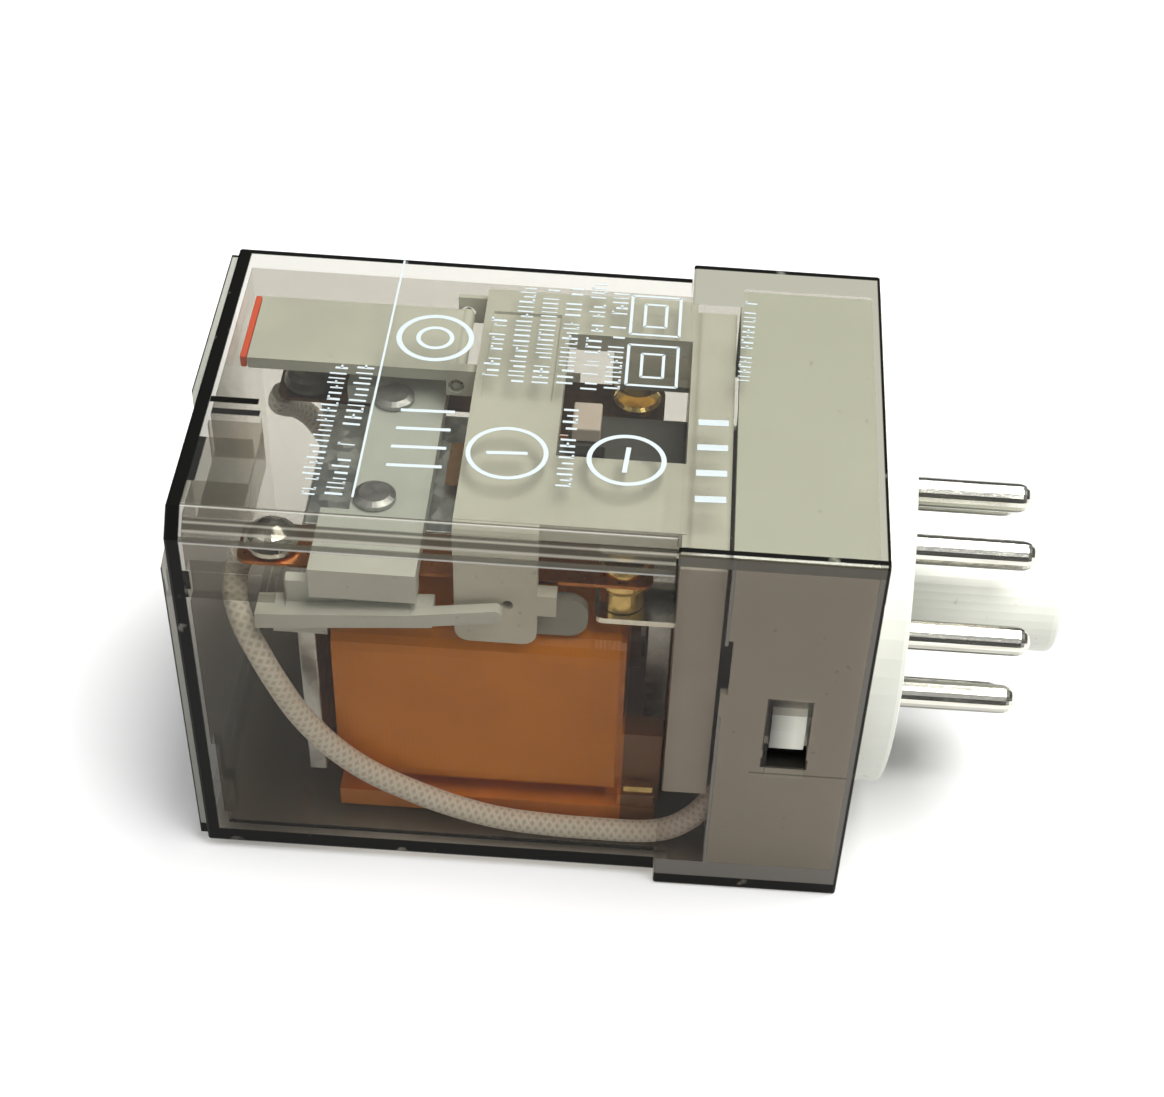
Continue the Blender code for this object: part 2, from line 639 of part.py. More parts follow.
def make_blades():
    """Moving blades, their double contacts and the solder domes at their fixed ends."""
    pieces = []
    for side, ys in both_sides((POLE_Y - STRIP_HALF, POLE_Y + STRIP_HALF)):
        middle = sum(ys) / 2
        blade = plate("moving_blade_" + side, "xy", rounded((4.5, 36.2), ys, 0.9), BLADE_Z, COPPER)
        cut(blade, rod("blade_hole_" + side, "z", (CONTACT_X, middle), (27, 28), 1.1, segments=20))
        contact = turned("moving_contact_" + side, double_contact(), "z",
                         (CONTACT_X, middle, BLADE_Z[0] - 0.9), GOLD)
        dome = turned("solder_dome_" + side, dome_profile(2.2, 1.9), "z",
                      (DOME_X, middle, BLADE_Z[1] + GAP), NICKEL)
        pieces += [blade, contact, dome]
    return pieces


def double_contact():
    """Profile of a contact rivet that holds the blade between its two heads."""
    head, shank, top = 2.15, 0.85, 2.0
    return [(0, top), (head - 0.45, top), (head - 0.2, top - 0.25), (head - 0.2, 1.3), (shank, 1.3),
            (shank, 0.8), (head, 0.8), (head, 0.25), (head - 0.25, 0), (0, 0)]


def dome_profile(radius, height):
    """A domed blob, from its top to its flat bottom."""
    steps = 6
    points = [(radius * math.sin(a), height * math.cos(a)) for a in
              (math.pi / 2 * i / steps for i in range(steps))]
    return points + [(radius, 0.15), (radius - 0.2, 0), (0, 0)]


def make_carrier_rivets():
    """Rivets through the carrier and the armature's arm."""
    bottom, length = 25.7, 4.3
    profile = [(0, length), (1.2, length), (1.65, length - 0.25), (1.65, 3.7), (0.7, 3.7),
               (0.7, 0.1), (0, 0.1)]
    return [turned("carrier_rivet_" + side, profile, "z", (RIVET_X, y, bottom), NICKEL, segments=24)
            for side, y in (("front", -RIVET_Y), ("rear", RIVET_Y))]


# ---------------------------------------------------------------- indicator and leads

def make_indicator():
    """A flag pivoted under the deck's edge, with a red end."""
    x, z = FLAG_PIVOT
    flag = box("indicator_flag", (2.6, x), FLAG_Y, (31.0, 32.0), GREY)
    join(flag, rod("flag_boss", "y", FLAG_PIVOT, FLAG_Y, 0.58, segments=20))
    cut(flag, rod("flag_bore", "y", FLAG_PIVOT, (5, 17), 0.4, segments=16))
    tip = box("indicator_tip", (1.95, 2.5), FLAG_Y, (30.2, 32.0), RED)
    rod("flag_pivot_pin", "y", FLAG_PIVOT, (5.7, 15.9), 0.3, NICKEL, segments=16)
    return [flag, tip]


def smooth_route(points, per_span=4):
    """Points of a smooth curve through a route's own points."""
    points = [Vector(p) for p in points]
    padded = [points[0] * 2 - points[1]] + points + [points[-1] * 2 - points[-2]]
    made = []
    for a, b, c, d in zip(padded, padded[1:], padded[2:], padded[3:]):
        for i in range(per_span):
            t = i / per_span
            made.append(0.5 * (2 * b + (c - a) * t + (2 * a - 5 * b + 4 * c - d) * t ** 2
                               + (3 * b - a - 3 * c + d) * t ** 3))
    return made + [points[-1]]


def make_leads():
    """Sleeved leads from the blades to the base, one on each side."""
    for side, sign in (("front", 1), ("rear", -1)):
        route = [(x, y * sign, z) for x, y, z in LEAD_ROUTE]
        curve = bpy.data.curves.new("lead_" + side, "CURVE")
        curve.dimensions = "3D"
        curve.bevel_depth = LEAD_RADIUS * MM
        curve.bevel_resolution = 2
        curve.use_fill_caps = True
        points = smooth_route(route)
        spline = curve.splines.new("POLY")
        spline.points.add(len(points) - 1)
        for point, place in zip(spline.points, points):
            point.co = (*world(*place), 1)
        lead = curve_to_mesh(curve, "lead_" + side, SLEEVE, Matrix.Identity(4))
        smooth(lead)


def main():
    clear_scene()
    make_cover()
    make_plug_base()
    make_pins()
    make_contact_frame()
    make_fixed_contacts()
    make_barrier()
    make_yoke()
    make_core()
    make_coil()
    make_coil_terminals()
    make_return_spring()
    make_leads()
    rocking = [make_armature(), make_carrier()] + make_blades() + make_carrier_rivets()
    hang("armature_pivot", (HINGE[0], 0, HINGE[1]), rocking)
    hang("indicator_pivot", (FLAG_PIVOT[0], 0, FLAG_PIVOT[1]), make_indicator())


main()
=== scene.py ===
import math
import random

import bmesh
import bpy
from mathutils import Matrix, Vector


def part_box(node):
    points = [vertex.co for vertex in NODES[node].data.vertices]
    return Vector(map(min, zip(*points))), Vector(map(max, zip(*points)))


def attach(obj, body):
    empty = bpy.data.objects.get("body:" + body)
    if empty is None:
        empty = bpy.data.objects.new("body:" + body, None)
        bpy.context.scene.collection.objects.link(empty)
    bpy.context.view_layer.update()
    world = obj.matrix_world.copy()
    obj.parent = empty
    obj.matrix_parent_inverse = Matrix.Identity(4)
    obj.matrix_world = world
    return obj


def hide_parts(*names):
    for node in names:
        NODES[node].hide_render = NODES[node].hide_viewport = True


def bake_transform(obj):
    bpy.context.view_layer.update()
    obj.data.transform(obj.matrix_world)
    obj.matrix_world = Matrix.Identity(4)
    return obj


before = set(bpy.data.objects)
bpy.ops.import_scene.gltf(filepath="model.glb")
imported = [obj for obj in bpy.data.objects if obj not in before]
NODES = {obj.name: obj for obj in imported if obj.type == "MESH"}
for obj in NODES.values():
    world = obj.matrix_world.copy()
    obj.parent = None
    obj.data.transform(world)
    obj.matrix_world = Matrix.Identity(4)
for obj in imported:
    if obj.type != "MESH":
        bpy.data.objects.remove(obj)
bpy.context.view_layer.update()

MM = 0.001

# The design's millimetre axes: x from the closed end, y from the axis plane, z from the table.
COVER_LOW, COVER_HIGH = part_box("cover")
ORIGIN = Vector((COVER_LOW.x, (COVER_LOW.y + COVER_HIGH.y) / 2, COVER_LOW.z))
SIDE = 36.0
HALF = SIDE / 2
STEP = 0.8  # the body's faces lie this far inside the skirt's
CORNER = 1.8  # the body's upper coil-side edge is cut at 45 degrees
BODY_TOP = SIDE - STEP
BODY_FAR = HALF - STEP
PANEL_X, END_X = 0.62, 1.72  # the closed end's raised panel, and its wall's inner face
SKIRT_X = 37.8
COVER_END = 53.1
FRAME_X = (SKIRT_X, 42.0)  # the stretch of the skirt that covers the frame's right wall
FLANGE_X = 55.85


def at(x, y, z):
    """Row frame position of a point given in the design's millimetres."""
    return ORIGIN + Vector((x, y, z)) * MM


# ---------------------------------------------------------------- node helpers

class Nodes:
    """Short names for making a material's nodes."""

    def __init__(self, name):
        self.material = bpy.data.materials.new(name)
        self.material.use_nodes = True
        self.tree = self.material.node_tree
        self.tree.nodes.clear()
        self.output = self.tree.nodes.new("ShaderNodeOutputMaterial")
        self.coords = None

    def make(self, kind, inputs=None, **settings):
        made = self.tree.nodes.new("ShaderNode" + kind)
        for key, value in settings.items():
            setattr(made, key, value)
        for key, value in (inputs or {}).items():
            self.put(made.inputs[key], value)
        return made

    def put(self, socket, value):
        if isinstance(value, bpy.types.NodeSocket):
            self.tree.links.new(value, socket)
        elif isinstance(value, tuple) and len(value) == 3 and len(socket.default_value) == 4:
            socket.default_value = (*value, 1.0)
        else:
            socket.default_value = value

    def position(self):
        """Millimetres in the row frame, fixed to the piece."""
        if self.coords is None:
            coords = self.make("TexCoord")
            self.coords = self.make("VectorMath", {0: coords.outputs["Object"], 3: 1000.0},
                                    operation="SCALE").outputs[0]
        return self.coords

    def math(self, operation, a, b=0.0):
        return self.make("Math", {0: a, 1: b}, operation=operation).outputs[0]

    def both(self, first, *others):
        """The product of factors."""
        for other in others:
            first = self.math("MULTIPLY", first, other)
        return first

    def either(self, first, *others):
        """The largest of factors."""
        for other in others:
            first = self.math("MAXIMUM", first, other)
        return first

    def noise(self, scale, detail=3.0, rough=0.5, vector=None, stretch=None):
        vector = vector or self.position()
        if stretch:
            vector = self.make("VectorMath", {0: vector, 1: stretch}, operation="MULTIPLY").outputs[0]
        made = self.make("TexNoise", {"Vector": vector, "Scale": scale, "Detail": detail,
                                      "Roughness": rough})
        return made.outputs["Fac"]

    def ramp(self, value, low, high, out_low=0.0, out_high=1.0):
        """Map value from low..high to out_low..out_high, held at the ends."""
        made = self.make("MapRange", {"Value": value, "From Min": low, "From Max": high,
                                      "To Min": out_low, "To Max": out_high}, clamp=True)
        return made.outputs[0]

    def band(self, value, low, high, soft=0.08):
        """1 between low and high, with soft ends."""
        rise = self.ramp(value, low - soft / 2, low + soft / 2)
        return self.both(rise, self.ramp(value, high - soft / 2, high + soft / 2, 1.0, 0.0))

    def place(self):
        """x, y and z in the design's millimetres, of a piece that stays with the case."""
        split = self.make("SeparateXYZ", {0: self.position()})
        return [self.math("SUBTRACT", split.outputs[axis], (ORIGIN * 1000)[axis]) for axis in range(3)]

    def normal(self):
        """The outward direction of the piece's surface, as x, y and z."""
        coords = self.make("TexCoord")
        return self.make("SeparateXYZ", {0: coords.outputs["Normal"]}).outputs

    def mix(self, factor, a, b):
        made = self.make("Mix", data_type="RGBA")
        self.put(made.inputs[0], factor)
        self.put(made.inputs[6], a)
        self.put(made.inputs[7], b)
        return made.outputs[2]

    def bump(self, height, strength, distance=0.0001, normal=None):
        inputs = {"Height": height, "Strength": strength, "Distance": distance}
        if normal is not None:
            inputs["Normal"] = normal
        return self.make("Bump", inputs).outputs[0]

    def principled(self, **inputs):
        return self.make("BsdfPrincipled", {k.replace("_", " "): v for k, v in inputs.items()})

    def finish(self, shader):
        socket = shader.outputs[0] if hasattr(shader, "outputs") else shader
        self.tree.links.new(socket, self.output.inputs["Surface"])
        return self.material


def shade(colour, amount):
    return tuple(min(1.0, c * amount) for c in colour)


# ---------------------------------------------------------------- materials

def moulded(name, colour, roughness=0.42, grain=0.12, mottle=0.06, marks=None, depth=0.3):
    """Moulded plastic: fine spark-eroded grain, faint flow mottling and a few specks.

    marks(n) says how strongly a darker tone, depth times the colour, lies over the piece's parts: painted
    shade, and on the plug base its gate line as well.
    """
    n = Nodes(name)
    cloud = n.noise(0.12, 4.0, 0.6)
    tone = n.mix(n.ramp(cloud, 0.35, 0.65), shade(colour, 1 - mottle), shade(colour, 1 + mottle))
    specks = n.ramp(n.noise(1.6, 1.0, 0.3), 0.74, 0.80)
    tone = n.mix(n.math("MULTIPLY", specks, 0.35), tone, shade(colour, 0.45))
    if marks:
        tone = n.mix(marks(n), tone, shade(colour, depth))
    fine = n.noise(9.0, 3.0, 0.6)
    waves = n.noise(0.35, 2.0, 0.5)
    normal = n.bump(fine, grain, 0.00003, n.bump(waves, 0.12, 0.0002))
    rough = n.ramp(n.noise(0.9, 3.0, 0.5), 0.3, 0.7, roughness - 0.05, roughness + 0.07)
    return n.finish(n.principled(Base_Color=tone, Roughness=rough, Normal=normal,
                                 Specular_IOR_Level=0.5))


def shaded_wall(n):
    """The frame's inner wall below the deck, which the ear keeps in its shade."""
    y, z = n.place()[1:]
    return n.both(n.band(y, -12.9, -11.0, 0.1), n.band(z, 22.0, 26.4, 0.1), 0.75)


def gate_line_and_shade(n):
    """The gate line, and painted shade: on the snap tab's side, as a shadow in its gap, round the plug's
    root, and darker towards the bottom beyond the cover's end.
    """
    x, y, z = n.place()
    gate_line = n.both(n.band(x, 44.8, 53.0, 0.1), n.band(z, 12.55, 12.7, 0.1), 0.6)
    window = n.both(n.band(y, -18.5, -14.0, 0.1), n.band(x, 45.6, 49.3, 0.1))
    tab_side = n.both(n.band(z, 15.2, 20.9, 0.1), n.ramp(x, 46.1, 48.0, 0.8, 0.0))
    gap = n.band(z, 13.3, 14.4, 0.1)
    root = n.both(n.ramp(x, 56.0, 62.0, 0.42, 0.0), n.math("GREATER_THAN", x, FLANGE_X))
    # Painted shade, darker towards the bottom, on what stands beyond the cover's end.
    low = n.both(n.ramp(z, 9.0, 20.0, 0.22, 0.0), n.math("GREATER_THAN", x, COVER_END - 0.1))
    return n.either(gate_line, root, low, n.both(window, n.either(tab_side, gap)))


LENGTHWISE = (0.1, 1, 1)  # draws a metal's grain out along the relay


def metal(name, colour, roughness, brush=None, dull=0.25, dent=0.1, fine=6.0):
    """Plated or rolled metal: brush marks along one axis, dull patches and small dents."""
    n = Nodes(name)
    stretch = brush or (1.0, 1.0, 1.0)
    lines = n.noise(fine, 4.0, 0.65, stretch=stretch)
    patches = n.noise(0.6, 3.0, 0.6)
    tone = n.mix(n.ramp(patches, 0.35, 0.7), colour, shade(colour, 1 - dull))
    rough = n.ramp(n.noise(1.2, 4.0, 0.6), 0.3, 0.75, roughness * 0.75, roughness * 1.35)
    normal = n.bump(lines, dent, 0.00004, n.bump(n.noise(0.9, 2.0, 0.4), dent, 0.0002))
    return n.finish(n.principled(Base_Color=tone, Metallic=1.0, Roughness=rough, Normal=normal))


# The direction across the pins whose sides get the painted dark reflection.
DARK_RIM_Y, DARK_RIM_Z = 0.755, 0.656


def pin_nickel():
    """Bright nickel, drawn lengthwise, with a painted dark band along two opposite sides of each pin, a
    painted reflection of the dim room.

    The sides are those towards and away from the direction of the two constants above, which turns with
    the piece.
    """
    n = Nodes("visual_pin_nickel")
    lines = n.noise(4.0, 4.0, 0.65, stretch=(0.06, 1.0, 1.0))
    facing = n.normal()
    across = n.math("ADD", n.math("MULTIPLY", facing[1], DARK_RIM_Y),
                    n.math("MULTIPLY", facing[2], DARK_RIM_Z))
    dark_rim = n.ramp(n.math("ABSOLUTE", across), 0.72, 0.97, 0.0, 0.85)
    tone = n.mix(n.ramp(lines, 0.35, 0.7), (0.74, 0.73, 0.66), (0.56, 0.54, 0.46))
    # Painted dark reflection along the pins' sides.
    tone = n.mix(dark_rim, tone, (0.10, 0.10, 0.085))
    normal = n.bump(lines, 0.2, 0.00004, n.bump(n.noise(0.9, 3.0, 0.5), 0.2, 0.0002))
    return n.finish(n.principled(Base_Color=tone, Metallic=1.0, Normal=normal,
                                 Roughness=n.ramp(lines, 0.3, 0.7, 0.16, 0.28)))


def zinc(name):
    """Zinc plate with its blue-grey spangle."""
    n = Nodes(name)
    cells = n.make("TexVoronoi", {"Vector": n.position(), "Scale": 1.1})
    grain = n.make("SeparateColor", {0: cells.outputs["Color"]}).outputs[0]
    tone = n.mix(grain, (0.55, 0.58, 0.60), (0.78, 0.80, 0.80))
    stain = n.ramp(n.noise(0.7, 4.0, 0.6), 0.5, 0.75)
    tone = n.mix(n.math("MULTIPLY", stain, 0.5), tone, (0.42, 0.40, 0.36))
    rough = n.ramp(grain, 0.0, 1.0, 0.28, 0.45)
    normal = n.bump(n.noise(5.0, 4.0, 0.6), 0.15, 0.00005)
    return n.finish(n.principled(Base_Color=tone, Metallic=1.0, Roughness=rough, Normal=normal))


def amber_tape():
    """Glossy polyester tape over the turns, which show through it as fine lines."""
    n = Nodes("visual_amber_tape")
    x = n.place()[0]
    turns = n.make("TexWave", {"Vector": n.position(), "Scale": 0.9, "Distortion": 0.6,
                               "Detail": 1.0}, bands_direction="X").outputs["Fac"]
    cloud = n.noise(0.16, 3.0, 0.5)
    tone = n.mix(n.ramp(cloud, 0.3, 0.7), (0.60, 0.185, 0.003), (0.67, 0.22, 0.004))
    tone = n.mix(n.math("MULTIPLY", turns, 0.06), tone, (0.6, 0.18, 0.012))
    # A double layer at the right, and darker towards the left edge.
    lap = n.ramp(x, 31.7, 31.9)
    tone = n.mix(n.math("MULTIPLY", lap, 0.22), tone, (0.45, 0.13, 0.01))
    start = n.ramp(x, 14.0, 11.4)
    tone = n.mix(n.math("MULTIPLY", start, 0.35), tone, (0.45, 0.14, 0.01))
    normal = n.bump(n.noise(0.35, 2.0, 0.5), 0.35, 0.0003,
                    n.bump(n.math("ADD", turns, n.math("MULTIPLY", lap, 3.0)), 0.1, 0.00005))
    # The faint orange emission is a painted glow, for light coming through the tape.
    return n.finish(n.principled(Base_Color=tone, Roughness=0.22, Normal=normal,
                                 Specular_IOR_Level=0.25, Coat_Weight=0.12, Coat_Roughness=0.08,
                                 Emission_Color=(1.0, 0.34, 0.02, 1.0), Emission_Strength=0.04))


def bobbin_plastic(colour, glow=0.01):
    """Semi-clear amber moulding, with painted shade where the coil's terminal block is, and a faint
    painted glow.
    """
    n = Nodes("visual_bobbin")
    cloud = n.noise(0.3, 3.0, 0.5)
    tone = n.mix(n.ramp(cloud, 0.3, 0.7), shade(colour, 0.85), shade(colour, 1.15))
    terminal_shade = n.both(n.band(n.place()[0], 34.7, 40.0, 0.1), 0.85)
    tone = n.mix(terminal_shade, tone, (0.10, 0.045, 0.018))
    normal = n.bump(n.noise(4.0, 3.0, 0.6), 0.15, 0.00005)
    return n.finish(n.principled(Base_Color=tone, Roughness=0.3, Normal=normal,
                                 Subsurface_Weight=0.3, Subsurface_Radius=(0.002, 0.0008, 0.0003),
                                 Subsurface_Scale=0.6, Emission_Color=(*colour, 1.0),
                                 Emission_Strength=glow))


def wound_copper():
    """Enamelled turns, side by side."""
    n = Nodes("visual_winding")
    turns = n.make("TexWave", {"Vector": n.position(), "Scale": 1.6, "Distortion": 0.3},
                   bands_direction="X").outputs["Fac"]
    tone = n.mix(turns, (0.45, 0.16, 0.06), (0.85, 0.40, 0.20))
    normal = n.bump(turns, 0.6, 0.0001)
    return n.finish(n.principled(Base_Color=tone, Metallic=0.8, Roughness=0.32, Normal=normal))


def woven_sleeve():
    """Braided glass sleeving: two crossed sets of yarns, from the tube's own length and turn."""
    n = Nodes("visual_sleeve")
    uv = n.make("TexCoord").outputs["UV"]
    split = n.make("SeparateXYZ", {0: uv})
    along = n.math("MULTIPLY", split.outputs[0], 9.0)
    around = n.math("MULTIPLY", split.outputs[1], math.tau * 6)
    first = n.math("SINE", n.math("ADD", along, around))
    second = n.math("SINE", n.math("SUBTRACT", along, around))
    weave = n.math("MAXIMUM", first, second)
    fibre = n.noise(14.0, 3.0, 0.6)
    tone = n.mix(n.ramp(weave, -0.6, 0.9), (0.62, 0.59, 0.53), (0.86, 0.84, 0.78))
    tone = n.mix(n.ramp(n.noise(0.25, 3.0, 0.6), 0.45, 0.75, 0.0, 0.35), tone, (0.70, 0.64, 0.54))
    height = n.math("ADD", weave, n.math("MULTIPLY", fibre, 0.4))
    normal = n.bump(height, 0.35, 0.00008)
    return n.finish(n.principled(Base_Color=tone, Roughness=0.62, Normal=normal,
                                 Sheen_Weight=0.3, Sheen_Roughness=0.4))


def printing():
    """White screen print, slightly worn."""
    n = Nodes("visual_print")
    worn = n.ramp(n.noise(1.8, 4.0, 0.7), 0.58, 0.78, 0.0, 0.5)
    tone = n.mix(worn, (0.42, 0.47, 0.48), (0.28, 0.31, 0.32))
    normal = n.bump(n.noise(6.0, 2.0, 0.5), 0.1, 0.00003)
    return n.finish(n.principled(Base_Color=tone, Roughness=0.5, Normal=normal))


# What one surface of the cover lets through; each wall has two.
TINT = (0.775, 0.755, 0.72)
SKIRT_TINT = (0.70, 0.668, 0.64)
TOP_TINT = (0.77, 0.768, 0.735)
CLEARER_TINT = (0.86, 0.845, 0.82)
# What is painted on its walls: painted shade and dark reflections, painted highlights, painted light on
# its floor, the closed end's grey panel, and the grey of the plug base and frame as a painted reflection.
BLACK = (0.003, 0.003, 0.0025)
OLIVE = (0.045, 0.04, 0.026)
GLINT = (0.42, 0.41, 0.37)
PANEL_TONE = (0.22, 0.225, 0.19)
LIT_FLOOR_TONE = (0.46, 0.40, 0.34)
SIDE_REFLECTED_GREY, TOP_REFLECTED_GREY = (0.125, 0.115, 0.10), (0.235, 0.232, 0.19)


def outer_faces(n, y, z, facing):
    """Factors for the cover's upper face and its coil side, each with the cut edge between them."""
    upper = n.both(n.math("GREATER_THAN", facing[2], 0.6), n.math("GREATER_THAN", z, SIDE - 3))
    flank = n.both(n.math("LESS_THAN", facing[1], -0.6), n.math("LESS_THAN", y, 3 - HALF))
    return upper, flank


def painted_dark_edges(n, x, y, z, upper, flank, skirt):
    """Where the cover's edges and the feet of its walls are painted black: painted shade and dark
    reflections, for light trapped in the walls.
    """
    outer = n.either(upper, flank)
    body = n.math("SUBTRACT", 1.0, skirt)
    inward = n.math("MULTIPLY", y, -1.0)
    closed_end = n.both(outer, n.band(x, PANEL_X, END_X))
    clip_rib = n.both(upper, n.band(y, -3.2, -2.5), n.band(x, 1.7, 5.4))
    open_end = n.both(outer, n.band(x, COVER_END - 0.3, COVER_END + 1))
    panel_rim = n.either(n.band(x, -1.0, 0.1), n.both(upper, n.band(y, BODY_FAR - 0.7, HALF)))
    panel_rim = n.both(outer, panel_rim, n.math("LESS_THAN", x, PANEL_X))
    body_far = n.both(upper, body, n.band(y, BODY_FAR - 0.75, HALF))
    body_foot = n.both(flank, body, n.band(z, 0.0, 2.35))
    skirt_far = n.both(upper, skirt, n.band(y, HALF - 0.7, HALF + 1))
    skirt_near = n.both(upper, skirt, n.band(inward, HALF - 0.75, HALF - 0.25))
    skirt_foot = n.both(flank, skirt, n.band(z, -1.0, 1.3))
    return n.either(closed_end, clip_rib, open_end, panel_rim, body_far, body_foot,
                    skirt_far, skirt_near, skirt_foot)


def painted_margin_reflection(n, x, y, z, upper, flank, skirt):
    """The skirt's margins and the seam, painted with the grey of the plug base and the frame as a painted
    reflection in the walls, darker on the sides than on top.
    """
    seam = n.both(n.band(x, 41.8, 42.05), n.math("SUBTRACT", 1.0, n.band(z, 20.0, 27.4)))
    top = n.either(n.band(y, HALF - 3.1, HALF), n.band(x, COVER_END - 0.8, COVER_END),
                   n.both(n.band(y, 12.4, HALF), n.band(x, *FRAME_X)))
    side = n.either(seam, n.band(z, 1.3, 3.1), n.band(x, COVER_END - 0.7, COVER_END))
    return n.both(skirt, n.either(n.both(upper, top), n.both(flank, side)))


def edge_lines(n, y, z, upper, flank, skirt):
    """The painted highlight and the painted shade line along each side of the body's cut edge."""
    body = n.math("SUBTRACT", 1.0, skirt)
    inward = n.math("MULTIPLY", y, -1.0)
    edge_y, edge_z = BODY_FAR - CORNER, BODY_TOP - CORNER
    bright = n.either(n.both(upper, n.band(inward, edge_y - 0.07, edge_y + 0.05)),
                      n.both(flank, n.band(z, edge_z - 0.3, edge_z - 0.14)))
    dark = n.either(n.both(upper, n.band(inward, edge_y - 0.24, edge_y - 0.07)),
                    n.both(flank, n.band(z, edge_z - 0.14, edge_z + 0.2)))
    return n.both(body, bright), n.both(body, dark)


def painted_end_shade(n, x, y, z, facing):
    """Painted shade on the closed end's walls and on the cover's floor near the closed end, and the
    cover's floor itself.
    """
    end = n.both(n.math("GREATER_THAN", n.math("ABSOLUTE", facing[0]), 0.6),
                 n.ramp(x, 1.9, 2.1, 1.0, 0.0), n.ramp(y, 2.0, 12.0, 1.0, 0.0))
    low = n.both(n.ramp(z, 2.2, 2.4, 1.0, 0.0), n.math("GREATER_THAN", n.math("ABSOLUTE", facing[2]), 0.6))
    return n.both(n.either(end, n.both(low, n.ramp(x, 15.0, 5.0))), 0.35), low


def clear_smoke(n, x, y, facing):
    """The tint of one surface, which is less on the thin side pocket, and on the far wall as painted light
    that brightens the shaded floor seen through it.
    """
    level = n.ramp(n.math("ABSOLUTE", facing[2]), 0.5, 0.9)
    tint = n.mix(n.ramp(x, SKIRT_X, SKIRT_X + 0.1), TINT, SKIRT_TINT)
    tint = n.mix(level, tint, TOP_TINT)
    pocket = n.both(n.ramp(x, 9.0, 9.1, 1.0, 0.0), n.ramp(x, 1.8, 1.9),
                    n.both(n.ramp(y, -15.95, -15.85), n.ramp(y, -14.6, -14.5, 1.0, 0.0)))
    thin = n.both(n.either(n.ramp(y, 15.9, 16.0), pocket), n.math("SUBTRACT", 1.0, level))
    return n.make("BsdfTransparent", {"Color": n.mix(thin, tint, CLEARER_TINT)})


def lay(n, factor, under, **inputs):
    """A plain surface laid over another shader."""
    over = n.principled(**inputs)
    return n.make("MixShader", {0: factor, 1: under.outputs[0], 2: over.outputs[0]})


def smoke():
    """Clear smoke polycarbonate: tinted, hard gloss, with painted shade, dark reflections and highlights
    along its walls' edges, and painted light and shade on its floor and closed end.
    """
    n = Nodes("visual_smoke")
    facing = n.normal()
    x, y, z = n.place()
    ripple = n.bump(n.noise(0.08, 2.0, 0.4), 0.25, 0.0004,
                    n.bump(n.noise(1.3, 3.0, 0.5), 0.02, 0.0001))
    scratch = n.ramp(n.noise(2.2, 4.0, 0.6, stretch=(0.12, 1.0, 1.0)), 0.66, 0.8)
    haze = n.make("BsdfDiffuse", {"Color": (0.80, 0.76, 0.70), "Normal": ripple})
    body = n.make("MixShader", {0: n.ramp(scratch, 0.0, 1.0, 0.008, 0.03),
                                1: clear_smoke(n, x, y, facing).outputs[0], 2: haze.outputs[0]})
    # Only the side of a wall that faces the light reflects it; a wall is too thin to trap it.
    gloss = n.make("BsdfGlossy", {"Color": (1, 1, 1), "Roughness": 0.05, "Normal": ripple})
    front = n.math("SUBTRACT", 1.0, n.make("NewGeometry").outputs["Backfacing"])
    fresnel = n.make("Fresnel", {"IOR": 1.4, "Normal": ripple})
    up = n.ramp(facing[2], 0.5, 0.9)
    share = n.both(fresnel.outputs[0], front, n.ramp(up, 0.0, 1.0, 0.3, 1.0))
    shader = n.make("MixShader", {0: share, 1: body.outputs[0], 2: gloss.outputs[0]})

    upper, flank = outer_faces(n, y, z, facing)
    skirt = n.math("GREATER_THAN", x, SKIRT_X - 0.05)
    dark, low = painted_end_shade(n, x, y, z, facing)
    panel = n.both(n.math("LESS_THAN", x, PANEL_X), n.both(front, 0.6))
    margin_reflection = n.both(painted_margin_reflection(n, x, y, z, upper, flank, skirt), front)
    glint, shade_line = edge_lines(n, y, z, upper, flank, skirt)
    # A painted dark band along the skirt's top edge: painted shade and dark reflection.
    brow_shade = n.both(flank, skirt, n.band(z, SIDE - 1.15, SIDE - 0.1))
    broken = n.ramp(n.noise(0.45, 2.0, 0.4), 0.66, 0.72, 1.0, 0.45)
    # Painted shade and dark reflections along the cover's edges, broken up here and there.
    black = n.both(painted_dark_edges(n, x, y, z, upper, flank, skirt), broken)

    # Painted light on the cover's floor, for the lit paper seen through it, then painted shade at the
    # closed end.
    shader = lay(n, n.both(low, 0.22), shader, Base_Color=LIT_FLOOR_TONE, Roughness=0.5)
    shader = lay(n, dark, shader, Base_Color=BLACK, Roughness=0.5, Specular_IOR_Level=0.2)
    shader = lay(n, panel, shader, Base_Color=PANEL_TONE, Roughness=0.35)
    shader = lay(n, margin_reflection, shader, Base_Color=n.mix(up, SIDE_REFLECTED_GREY, TOP_REFLECTED_GREY), Roughness=0.5,
                 Specular_IOR_Level=0.2)
    shader = lay(n, n.both(shade_line, 0.8), shader, Base_Color=OLIVE, Roughness=0.4)
    shader = lay(n, n.both(glint, 0.75), shader, Base_Color=GLINT, Roughness=0.2)
    shader = lay(n, n.both(brow_shade, 0.92), shader, Base_Color=OLIVE, Roughness=0.25, Specular_IOR_Level=0.4)
    return n.finish(lay(n, black, shader, Base_Color=BLACK, Roughness=0.3, Specular_IOR_Level=0.1))


def paper_floor():
    """Matt white paper."""
    n = Nodes("stage_floor")
    tone = n.mix(n.noise(0.02, 3.0, 0.5), (0.745, 0.745, 0.745), (0.765, 0.765, 0.765))
    return n.finish(n.principled(Base_Color=tone, Roughness=0.9, Specular_IOR_Level=0.1))


